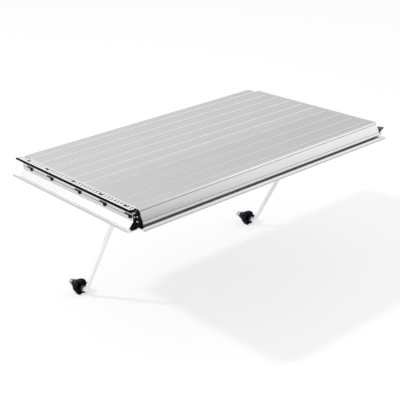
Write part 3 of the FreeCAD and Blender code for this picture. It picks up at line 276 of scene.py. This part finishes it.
# For each level of grey, the stretches of a rail's section that have it, as within reads them.
SIDE_FORM = {
    BRUSHED_AND_SHADED: [(-12.0, 0.2, -1.0, 0.2)],
    # Painted highlights: the band under the seam, the gutter's upper wall and the lip's top.
    PAINTED_BRIGHT: [(9.0, 10.6, 21.4, 26.0), (8.5, 13.82, 26.4, 28.0), (16.8, 21.0, 28.0, 30.6)],
    # Painted shade on the lip's underside.
    SHADED_UNDERSIDE: [(19.8, 21.0, 31.8, 35.4)],
    # Painted shade in the seam, the gutter and the step under the top edge.
    IN_SEAM: [(7.7, 8.75, 20.3, 21.5)],
    IN_GUTTER: [(8.5, 16.8, 28.0, 34.0)],
    IN_SHADOW: [(-0.9, -0.1, 2.5, 3.7)],
}
FRONT_FORM = {
    # Painted shade: the front face below the carrier takes the planks' darker grey.
    BRUSHED_AND_SHADED: [(13.0, 13.3, 3.2, 17.9)],
    # Painted shade on the lip's underside.
    SHADED_UNDERSIDE: [(28.6, 30.0, 29.4, 36.0)],
    # Painted shade in the seam below the face's strip and in the gap under the carrier.
    IN_SHADOW: [(12.2, 13.15, 8.8, 10.0), (12.9, 13.3, 2.5, 3.25)],
}


def within(out, down, box):
    """1 in a stretch of a rail's section: from out, to out, from down, to down, in millimetres."""
    out_low, out_high, down_low, down_high = (edge / 1000 for edge in box)
    return (out > out_low) * (out < out_high) * (down > down_low) * (down < down_high)


def either(first, *others):
    """1 where any of the masks is 1."""
    for other in others:
        first = first.maths("MAXIMUM", other)
    return first


def satin(name, axis):
    """The rails' metal, etched all over."""
    made, _, tone = extruded(name, axis, RAIL_ROUGHNESS, RAIL_GRAIN)
    toned(tone, ETCHED, ETCHED_CONTRAST).into("Base Color")
    return made


def rail_metal(name, axis, out_of, sign, edge, form, painted_light=False):
    """A rail's finish. Its section is read outwards from its top edge, along X or Y, and downwards. With
    painted light, the rail gets a painted highlight on its top edge, and painted shade darkens its fascia
    downwards and towards the operator."""
    made, spot, tone = extruded(name, axis, RAIL_ROUGHNESS, RAIL_GRAIN)
    x, y, z = axes(spot)
    out = ((x if out_of == "X" else y) - edge) * sign
    down = TOP - z
    if painted_light:
        # Painted shade: the fascia darkens downwards and towards the operator's end.
        bright = between(y, BRIGHT_FROM, BRIGHT_BY)
        foot = between(down, FACE_TOP, FACE_FOOT)
        near, far = (blend(foot, grey(top), grey(low)) for top, low in (FASCIA_NEAR, FASCIA_FAR))
        colour = blend(bright, near, far)
    else:
        colour = toned(tone, ETCHED, ETCHED_CONTRAST)
    for level, boxes in form.items():
        mask = either(*[within(out, down, box) for box in boxes])
        colour = blend(mask, colour, toned(tone, level, BRUSHED_CONTRAST))
    if painted_light:
        # Painted highlights on the top's outer edge and on the edge band below it.
        shoulder = between(out, *SHOULDER) * (down < EDGE_SKIN) * bright
        band = (out > -EDGE_SKIN) * (down > EDGE_SKIN) * (down < BAND_FOOT)
        edging = blend(bright, grey(EDGE_NEAR), grey(EDGE_FAR))
        colour = blend(band, blend(shoulder, colour, grey(1.0)), edging)
    colour.into("Base Color")
    return made


# The outer rail gets the painted highlight on its edge and the painted shade on its fascia.
wear(rail_metal("anodised_outer_rail", "Y", "X", 1, EDGE_X, SIDE_FORM, painted_light=True), "outer_rail")
wear(rail_metal("anodised_rear_rail", "X", "Y", 1, END_Y, SIDE_FORM), "rear_rail")
wear(rail_metal("anodised_front_rail", "X", "Y", -1, FRONT_Y, FRONT_FORM), "front_rail")
wear(satin("anodised_key", "Y"), "plank_key")


# Gutter cover: a snap-in strip of the rails' metal, slightly crowned, that closes the front rail's
# gutter. It falls from the lip's inner edge to the foot of the slanted face.

COVER_START = 0.0206
COVER_SPAN = (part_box("front_rail")[0].x + COVER_START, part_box("front_scale_strip")[1].x)
COVER_OUT = (0.02255, 0.02505)
COVER_LEVELS = (0.0300, 0.0293)
COVER_CROWN = 0.0002
COVER_THICKNESS = 0.0009
CROWN_POINTS, COVER_RINGS = 7, 9


def placed(name, mesh):
    """A new object in the scene with this mesh."""
    made = bpy.data.objects.new(name, mesh)
    bpy.context.scene.collection.objects.link(made)
    return made


def skin(name, rings):
    """A closed skin over rings of points: ring by ring along it, anticlockwise round it seen from its
    far end. Each point joins the next in its ring and its fellow in the next ring; the two end rings
    are closed by one face each."""
    count, around = rings.shape[:2]
    ring, step = np.meshgrid(np.arange(count - 1), np.arange(around), indexing="ij")
    after = (step + 1) % around
    corners = np.stack([ring * around + step, ring * around + after, (ring + 1) * around + after,
                        (ring + 1) * around + step], axis=-1).reshape(-1, 4)
    near_end = np.arange(around)[::-1]
    far_end = (count - 1) * around + np.arange(around)
    mesh = bpy.data.meshes.new(name)
    faces = corners.tolist() + [near_end.tolist(), far_end.tolist()]
    mesh.from_pydata(rings.reshape(-1, 3).tolist(), [], faces)
    return placed(name, mesh)


def cover(name):
    """A bar along X. Across it t runs outwards from 0 to 1: its top rises in a straight line plus a
    crown of 4t(1 - t), and its underside is the same line one thickness lower."""
    t = np.linspace(0.0, 1.0, CROWN_POINTS)
    out = COVER_OUT[0] + t * (COVER_OUT[1] - COVER_OUT[0])
    line = COVER_LEVELS[0] + t * (COVER_LEVELS[1] - COVER_LEVELS[0])
    top = TOP - line + COVER_CROWN * 4 * t * (1 - t)
    section = np.concatenate([np.stack([FRONT_Y - out, top], axis=1),
                              np.stack([FRONT_Y - out, TOP - line - COVER_THICKNESS], axis=1)[::-1]])
    along = np.linspace(*COVER_SPAN, COVER_RINGS)
    rings = np.empty((len(along), len(section), 3))
    rings[:, :, 0] = along[:, None]
    rings[:, :, 1:] = section
    return skin(name, rings)


gutter_cover = cover("front_gutter_cover")
gutter_cover.data.materials.append(satin("anodised_cover", "X"))
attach(gutter_cover, "table")


# Black mouldings: the corner caps, the scale's carrier and the clips, in glass-filled nylon with
# a spark-eroded grain and faint rub marks where hands and workpieces pass. The rear cap's upper
# outer end is painted grey as a painted highlight.

BLACK = (0.0035, 0.0035, 0.004, 1.0)
NYLON_ROUGHNESS, NYLON_GRAIN, NYLON_GLOSS = 0.48, 0.0006, 0.03
CAP_HIGHLIGHT_SLOPE, CAP_HIGHLIGHT_UP = 0.5, (0.2040, 0.2090)
CAP_HIGHLIGHT_GREY = 0.16


def moulded(name, colour, roughness, grain_size, gloss):
    """Plastic with an even pitted grain, slightly polished in broad patches. Returns the material, its
    coordinates and its colour."""
    made, spot = surface(name, IOR=1.5, Specular_IOR_Level=gloss)
    grain = noise(spot, scale=1 / grain_size, detail=3.0, roughness=0.6)
    patches = noise(spot, scale=55.0, detail=3.0)
    rub = between(noise(spot, scale=(900.0, 900.0, 40.0)), 0.66, 0.74)
    dull = tuple(part * 1.8 + 0.003 for part in colour[:3]) + (1.0,)
    coloured = blend(between(patches, 0.35, 0.75) * 0.5 + rub * 0.35, colour, dull)
    coloured.into("Base Color")
    (patches * 0.16 + (roughness - 0.08) + rub * 0.1).into("Roughness")
    bump(grain, distance=0.00006, strength=0.7)
    return made, spot, coloured


def nylon(name, gloss=NYLON_GLOSS):
    """The black mouldings' plastic."""
    return moulded(name, BLACK, NYLON_ROUGHNESS, NYLON_GRAIN, gloss)


wear(nylon("black_nylon")[0], "front_corner_cap", "scale_clips")
highlit_nylon, spot, coloured = nylon("highlit_nylon")
x, _, z = axes(spot)
# Painted highlight: the rear cap turns grey towards its upper outer end.
cap_highlight = between(z + x * CAP_HIGHLIGHT_SLOPE, *CAP_HIGHLIGHT_UP)
blend(cap_highlight, coloured, grey(CAP_HIGHLIGHT_GREY)).into("Base Color")
wear(highlit_nylon, "rear_corner_cap")


# Scales: enamelled aluminium strips, one let into the black carrier on top of the front rail and one
# on the rail's face. From the saw-side edge each centimetre has a bold mark, each half a middling one
# and each millimetre a fine one. The upper strip is numbered, and a black oval of painted shade lies
# round each of its fixings.

WHITE_ENAMEL, GREY_ENAMEL = 0.96, 0.66
INK = (0.004, 0.004, 0.005, 1.0)
FAINT_INK, WORN_INK = grey(0.3), grey(0.012)
CENTIMETRE, HALF, MILLIMETRE = 0.01, 0.005, 0.001
MARKS_FOOT, MARKS_RISE, MARKS_WIDTH = 0.0016, 0.0052, 0.0021
FAINT_RISE, FAINT_WIDTH = 0.0016, 0.0004
FINE_WIDTH = 0.00025
FIXINGS = (0.0328, 0.1063, 0.2010, 0.2956, 0.3733)
FIXING_LEVEL = 0.0059
HOLE_SHADE = (0.0052, 0.0024)
strip_low, strip_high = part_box("scale_strip")


def enamel(spot, ground):
    """Enamel of that level, a little stained in broad patches."""
    return blend(noise(spot, scale=30.0, detail=3.0), grey(ground), grey(ground * 0.94, 0.01))


def enamelled(name, node, up, foot, rise, bold_width, ground, ink, fixings=()):
    """Enamel whose strokes stand on a line: up is its axis and foot its level, in metres. A middling
    stroke has 0.4 of a bold one's width and 0.7 of its rise, and a fine one 0.4 of its rise. An oval
    round each fixing is painted black too, as painted shade of the hole it sits in."""
    made, spot = surface(name)
    x, y, z = axes(spot)
    level = (y if up == "Y" else z) - foot
    bold = strokes(x, CENTIMETRE, bold_width) * (level < rise)
    middling = strokes(x, HALF, 0.4 * bold_width) * (level < 0.7 * rise)
    fine = strokes(x, MILLIMETRE, FINE_WIDTH) * (level < 0.4 * rise)
    worn = between(noise(spot, scale=260.0, detail=4.0, roughness=0.7), 0.2, 0.35)
    ink_and_shade = either(bold, middling, fine) * (level > 0.0) * worn
    # Painted shade: a black oval round each fixing, for the hole it sits in.
    for centre in fixings:
        across = (x - centre) * (1 / HOLE_SHADE[0])
        upright = (y - strip_low.y - FIXING_LEVEL) * (1 / HOLE_SHADE[1])
        ink_and_shade = either(ink_and_shade, across * across + upright * upright < 1.0)
    blend(ink_and_shade, enamel(spot, ground), ink).into("Base Color")
    (noise(spot, scale=180.0) * 0.12 + 0.22).into("Roughness")
    bump(noise(spot, scale=500.0), distance=0.00002, strength=0.5)
    wear(made, node)


enamelled("scale_enamel", "scale_strip", "Y", strip_low.y + MARKS_FOOT, MARKS_RISE, MARKS_WIDTH,
          WHITE_ENAMEL, INK, FIXINGS)
enamelled("front_scale_enamel", "front_scale_strip", "Z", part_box("front_scale_strip")[0].z, FAINT_RISE,
          FAINT_WIDTH, GREY_ENAMEL, FAINT_INK)

# The carrier's top is white too along the strip's near edge, up to a little short of its round end.
WHITE_MARGIN, MARGIN_END = 0.0015, 0.3955
MARGIN_SKIN = 0.0001
CARRIER_GLOSS = 0.015
carrier_plastic, spot, coloured = nylon("black_carrier", CARRIER_GLOSS)
x, y, z = axes(spot)
on_margin = (y > strip_low.y - WHITE_MARGIN) * (y < strip_low.y) * (x < MARGIN_END) * (z > TOP - MARGIN_SKIN)
blend(on_margin, coloured, enamel(spot, WHITE_ENAMEL)).into("Base Color")
wear(carrier_plastic, "scale_carrier")

FIGURE_SIZE, FIGURE_FOOT = 0.0058, 0.0058
FIGURE_WEIGHT = 0.0003
INK_FILM = 0.00006


def figures(name, last):
    """One mesh of the numbers 1 to last, each centred on its centimetre and raised by the ink's film."""
    gathered = bmesh.new()
    for number in range(1, last + 1):
        outline = bpy.data.curves.new(name, "FONT")
        outline.body = str(number)
        outline.size = FIGURE_SIZE
        outline.align_x = "CENTER"
        outline.extrude = INK_FILM
        outline.offset = FIGURE_WEIGHT
        outline.resolution_u = 3
        written = bpy.data.objects.new(name, outline)
        mesh = bpy.data.meshes.new_from_object(written)
        place = (number * CENTIMETRE, strip_low.y + FIGURE_FOOT, strip_high.z)
        mesh.transform(Matrix.Translation(place))
        gathered.from_mesh(mesh)
        bpy.data.objects.remove(written)
        bpy.data.curves.remove(outline)
        bpy.data.meshes.remove(mesh)
    made = bpy.data.meshes.new(name)
    gathered.to_mesh(made)
    gathered.free()
    return placed(name, made)


numbers = figures("scale_figures", last=40)
ink, spot = surface("scale_ink")
blend(noise(spot, scale=900.0, detail=3.0), INK, WORN_INK).into("Base Color")
(noise(spot, scale=300.0) * 0.2 + 0.35).into("Roughness")
numbers.data.materials.append(ink)
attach(numbers, "table")


# Screws, nuts, washers and brackets: bright zinc-plated steel, with the plating's faint cloudiness
# and fine scratches. The hub nuts are given a much darker grey of the same zinc. The scale's fixings
# and the clamps' sliding washers are black oxide.

OXIDE = (0.004, 0.004, 0.005, 1.0)


def plated(name, level, warmth, roughness):
    """Zinc plate: cloudy in broad patches, scratched in fine short lines."""
    made, spot = surface(name, Metallic=1.0)
    clouds = noise(spot, scale=160.0, detail=3.0)
    scratches = between(noise(spot, scale=(300.0, 4000.0, 2600.0)), 0.62, 0.7)
    blend(clouds, grey(level * 0.88, warmth), grey(level * 1.08, warmth)).into("Base Color")
    (clouds * 0.14 + (roughness - 0.07) + scratches * 0.15).into("Roughness")
    bump(noise(spot, scale=1800.0), distance=0.00002, strength=0.4)
    return made


zinc = plated("zinc_plate", level=0.68, warmth=0.015, roughness=0.3)
dark_zinc = plated("dark_zinc_plate", level=0.28, warmth=0.01, roughness=0.3)
black_oxide = moulded("black_oxide", OXIDE, roughness=0.4, grain_size=0.0004, gloss=0.03)[0]
wear(zinc, "front_rail_screws", "rear_rail_screws", "saw_block_screws")
wear(black_oxide, "scale_screws")
for side in ("front", "rear"):
    wear(zinc, "strut_bracket_" + side, "bracket_screws_" + side, "pivot_bolt_" + side,
         "pivot_nut_" + side, "tip_disc_" + side)
    wear(dark_zinc, "hub_nut_" + side)
    wear(black_oxide, "pressure_washer_" + side)


# Cap screws: three small pan heads of zinc-plated steel hold the front corner cap, one in its side
# facet and two in its bevel. Each has a cross recess, stamped when the head was formed.

CAP_HEAD, CAP_HEAD_RISE = 0.0015, 0.0006
SUNK = 0.0002
RECESS_REACH, RECESS_WIDTH, RECESS_DEPTH = 0.00085, 0.00022, 0.00045
HEAD_POINTS, DOME_RINGS = 32, 14
CLEAR_OF_CAP = 0.02
FACET = (0.0034, -0.0109)
BEVEL = (0.0075, -0.0075)

# Each screw's place out from the corner of the rails' top edges, the way it faces, and its level.
CAP_SCREWS = [(FACET, (0.625, -0.781), 0.0073),
              (BEVEL, (0.7071, -0.7071), 0.0079),
              (BEVEL, (0.7071, -0.7071), -0.0019)]


def revolved(name, centre, toward, profile, dent):
    """A surface of revolution about an axis through the centre: the profile gives radius and height
    along the axis from its foot to its crown, and dent lowers it by a function of its two flat
    coordinates across the axis."""
    around = np.linspace(0.0, math.tau, HEAD_POINTS, endpoint=False)
    radius, height = np.array(profile).T
    first = Vector(toward).orthogonal().normalized()
    second = Vector(toward).cross(first)
    across = radius[:, None] * np.cos(around)
    upright = radius[:, None] * np.sin(around)
    rise = height[:, None] - dent(across, upright)
    rings = (np.array(centre) + across[..., None] * np.array(first) + upright[..., None] * np.array(second)
             + rise[..., None] * np.array(toward))
    return skin(name, rings)


def cross(across, upright):
    """A cross recess: full depth where either flat coordinate lies near 0 and the other in reach."""
    near, far = np.minimum(abs(across), abs(upright)), np.maximum(abs(across), abs(upright))
    return RECESS_DEPTH * (near < RECESS_WIDTH) * (far < RECESS_REACH)


# A quarter turn from rim to crown, whose last ring stays open by a hundredth for its closing face.
angle = np.linspace(0.0, math.pi / 2, DOME_RINGS)
dome = np.stack([CAP_HEAD * np.cos(angle), CAP_HEAD_RISE * np.sin(angle)], axis=1)
dome[-1, 0] = CAP_HEAD / 100
head = np.concatenate([[(CAP_HEAD, -SUNK)], dome])

# A level ray from clear of the cap finds each head's seat and the way it faces there.
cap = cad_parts["front_corner_cap"]
bpy.context.view_layer.update()
for index, (place, toward, level) in enumerate(CAP_SCREWS):
    toward = Vector((*toward, 0.0)).normalized()
    outside = Vector((EDGE_X + place[0], FRONT_Y + place[1], level)) + toward * CLEAR_OF_CAP
    seat, normal = cap.ray_cast(outside, -toward)[1:3]
    screw = revolved("cap_screw_%d" % index, seat, normal, head, cross)
    screw.data.materials.append(zinc)
    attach(screw, "table")


# Saw blocks: two aluminium die castings behind the saw-side edge, which take the saw's bolts. Their
# skin is grey and slightly pebbled, as it left the die.

cast, spot = surface("cast_aluminium", Metallic=1.0)
pebbles = noise(spot, scale=420.0, detail=4.0, roughness=0.6)
blend(pebbles, grey(0.42), grey(0.62)).into("Base Color")
(pebbles * 0.2 + 0.42).into("Roughness")
bump(pebbles, distance=0.00025, strength=0.6)
wear(cast, "saw_block_front", "saw_block_rear")


# Struts: bent steel rods in a pale powder coat with metal flake and its usual orange peel; their low
# ends are turned and threaded for the clamp, and stay bare.

coat, spot = surface("pale_powder_coat", Metallic=0.55)
peel = noise(spot, scale=420.0)
thin = between(noise(spot, scale=110.0, detail=4.0, roughness=0.6), 0.3, 0.7)
blend(thin, grey(0.93), grey(0.99)).into("Base Color")
(peel * 0.12 + 0.34).into("Roughness")
bump(peel, distance=0.00006, strength=0.6)
wear(coat, "strut_front", "strut_rear")


# The clamps' threads: M8 with a pitch of 1.25 mm, rolled on each strut's low end from the fixed disc
# at its tip to just behind the hub nut.

PITCH = 0.00125
STUD_RADIUS = 0.004
CREST = 0.00011
BEHIND_NUT = 0.004
STUD_POINTS, RINGS_A_PITCH = 24, 8


def thread(name, start, end, y, z):
    """A rolled thread along X. Its radius is the stud's plus a triangle wave between the crest and
    minus the crest, whose phase is the distance along it in pitches less the turn round it."""
    along = np.arange(start, end, PITCH / RINGS_A_PITCH)
    around = np.linspace(0.0, math.tau, STUD_POINTS, endpoint=False)
    phase = along[:, None] / PITCH - around / math.tau
    wave = 4 * abs(phase - np.floor(phase) - 0.5) - 1
    radius = STUD_RADIUS + CREST * wave
    radius[[0, -1]] = STUD_RADIUS - CREST
    rings = np.stack([along[:, None] + 0 * around, y + radius * np.cos(around), z + radius * np.sin(around)],
                     axis=-1)
    return skin(name, rings)


for side in ("front", "rear"):
    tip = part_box("tip_disc_" + side)[1].x
    nut_low, nut_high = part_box("hub_nut_" + side)
    centre = (nut_low + nut_high) / 2
    rolled = thread("stud_thread_" + side, tip, nut_high.x + BEHIND_NUT, centre.y, centre.z)
    rolled.data.materials.append(zinc)
    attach(rolled, "strut_" + side)


# Knobs: lobed grips in blue-black plastic with a fine grain. Each is moulded round a turned brass
# insert that runs on the strut's thread.

KNOB = (0.0022, 0.0032, 0.0095, 1.0)
DARK_BRASS, BRIGHT_BRASS = (0.62, 0.44, 0.17, 1.0), (0.78, 0.58, 0.27, 1.0)
knob_plastic = moulded("knob_plastic", KNOB, roughness=0.4, grain_size=0.0007, gloss=0.07)[0]
wear(knob_plastic, "knob_front", "knob_rear")

brass, spot = surface("turned_brass", Metallic=1.0)
turning = noise(spot, scale=(5200.0, 60.0, 60.0))
blend(turning, DARK_BRASS, BRIGHT_BRASS).into("Base Color")
(turning * 0.16 + 0.22).into("Roughness")
bump(turning, distance=0.00002, strength=0.6)
wear(brass, "knob_insert_front", "knob_insert_rear")


# Floor and light: a white studio floor, a pale sky that is dimmer beyond the table's outer side, and
# one small round lamp, high up beyond the operator's end and towards the saw.

FLOOR_LEVEL = CAD_BOX[0].z
FLOOR_REACH = 30.0
FLOOR_GLOW, GLOW_STRENGTH = 0.60, 1.05
PAPER = (0.85, 0.85, 0.85, 1.0)
WHITE = (1.0, 1.0, 1.0, 1.0)


def sheet_of_floor(name, level, reach):
    """A level square: x and y run over the two parameters, from minus the reach to plus it."""
    u, v = np.meshgrid((-reach, reach), (-reach, reach), indexing="ij")
    corners = np.stack([u.ravel(), v.ravel(), np.full(4, level)], axis=1)
    mesh = bpy.data.meshes.new(name)
    mesh.from_pydata(corners.tolist(), [], [(0, 2, 3, 1)])
    return placed(name, mesh)


floor = sheet_of_floor("studio_floor", FLOOR_LEVEL, FLOOR_REACH)
paper = bpy.data.materials.new("white_paper")
paper.use_nodes = True
paper.node_tree.nodes.clear()
start = Flow(paper.node_tree, None)
seen = start.node("ShaderNodeLightPath", output="Is Camera Ray")
mirrored = start.node("ShaderNodeLightPath", output="Is Glossy Ray")
matt = start.node("ShaderNodeBsdfDiffuse", {}, {"Color": blend(seen, PAPER, WHITE)})
glow = start.node("ShaderNodeEmission", {}, {"Color": WHITE, "Strength": GLOW_STRENGTH})
mixed = start.node("ShaderNodeMixShader", {}, {0: (seen + mirrored) * FLOOR_GLOW, 1: matt, 2: glow})
start.node("ShaderNodeOutputMaterial", {}, {"Surface": mixed})
floor.data.materials.append(paper)

# Each heading is in degrees from +X towards +Y, with the sky's level there as metal mirrors it.
SKY_LEVEL = 0.78
SKY_IN_METAL = 0.94
HEADINGS = [(-180, 1.0), (-130, 1.0), (-60, 0.9), (0, 0.30), (30, 0.36), (48, 1.07), (75, 1.08),
            (100, 0.80), (118, 0.76), (150, 1.0), (180, 1.0)]
world = bpy.data.worlds.new("studio")
bpy.context.scene.world = world
world.use_nodes = True
world.node_tree.nodes.clear()
start = Flow(world.node_tree, None)
seen = start.node("ShaderNodeLightPath", output="Is Camera Ray")
mirrored = start.node("ShaderNodeLightPath", output="Is Glossy Ray")
ahead, left = axes(start.node("ShaderNodeTexCoord", output="Generated"))[:2]
turn = left.maths("ARCTAN2", ahead) * (1 / math.tau) + 0.5
stops = [((heading + 180) / 360, grey(level)) for heading, level in HEADINGS]
panels = turn.node("ShaderNodeValToRGB", {"stops": stops}, {0: turn})
in_metal = panels * SKY_IN_METAL
strength = mirrored * (in_metal - SKY_LEVEL) + seen * (1.0 - SKY_LEVEL) + SKY_LEVEL
sky = start.node("ShaderNodeBackground", {}, {"Color": WHITE, "Strength": strength})
start.node("ShaderNodeOutputWorld", {}, {"Surface": sky})

# The lamp's energy grows with its distance squared, so that its level is the light on the table.
LAMP_PLACE = Vector((-1.20, -2.55, 3.00))
LAMP_ACROSS = 0.3
LAMP_LEVEL = 1.12
aim = (CAD_BOX[0] + CAD_BOX[1]) / 2
toward = LAMP_PLACE - Vector((aim.x, aim.y, TOP))
lamp = bpy.data.objects.new("key_lamp", bpy.data.lights.new("key_lamp", "AREA"))
lamp.data.shape = "DISK"
lamp.data.size = LAMP_ACROSS
lamp.data.energy = LAMP_LEVEL * math.pi * toward.length_squared
lamp.matrix_world = Matrix.Translation(LAMP_PLACE) @ toward.to_track_quat("Z", "Y").to_matrix().to_4x4()
bpy.context.scene.collection.objects.link(lamp)


# Camera: at the photograph's place, in front of the table's outer front corner and above it. The
# turn is from +X towards +Y, the tilt upwards and the roll clockwise, in degrees.

CAMERA_PLACE = Vector((1.6253, -1.2087, 0.6692))
CAMERA_TURN, CAMERA_TILT, CAMERA_ROLL = (math.radians(angle) for angle in (140.10, -23.15, 2.53))
SENSOR, LENS = 36.0, 81.1
SIGHT = 100.0

forward = Vector((math.cos(CAMERA_TILT) * math.cos(CAMERA_TURN),
                  math.cos(CAMERA_TILT) * math.sin(CAMERA_TURN),
                  math.sin(CAMERA_TILT)))
right = forward.cross(Vector((0, 0, 1))).normalized()
down = forward.cross(right)
across = right * math.cos(CAMERA_ROLL) + down * math.sin(CAMERA_ROLL)
upward = right * math.sin(CAMERA_ROLL) - down * math.cos(CAMERA_ROLL)
turned = Matrix((across, upward, -forward)).transposed().to_4x4()
camera = bpy.data.objects.new("camera", bpy.data.cameras.new("camera"))
camera.data.sensor_width = SENSOR
camera.data.lens = LENS
camera.data.clip_end = SIGHT
camera.matrix_world = Matrix.Translation(CAMERA_PLACE) @ turned
bpy.context.scene.collection.objects.link(camera)
bpy.context.scene.camera = camera
bpy.context.scene.view_settings.view_transform = "Standard"
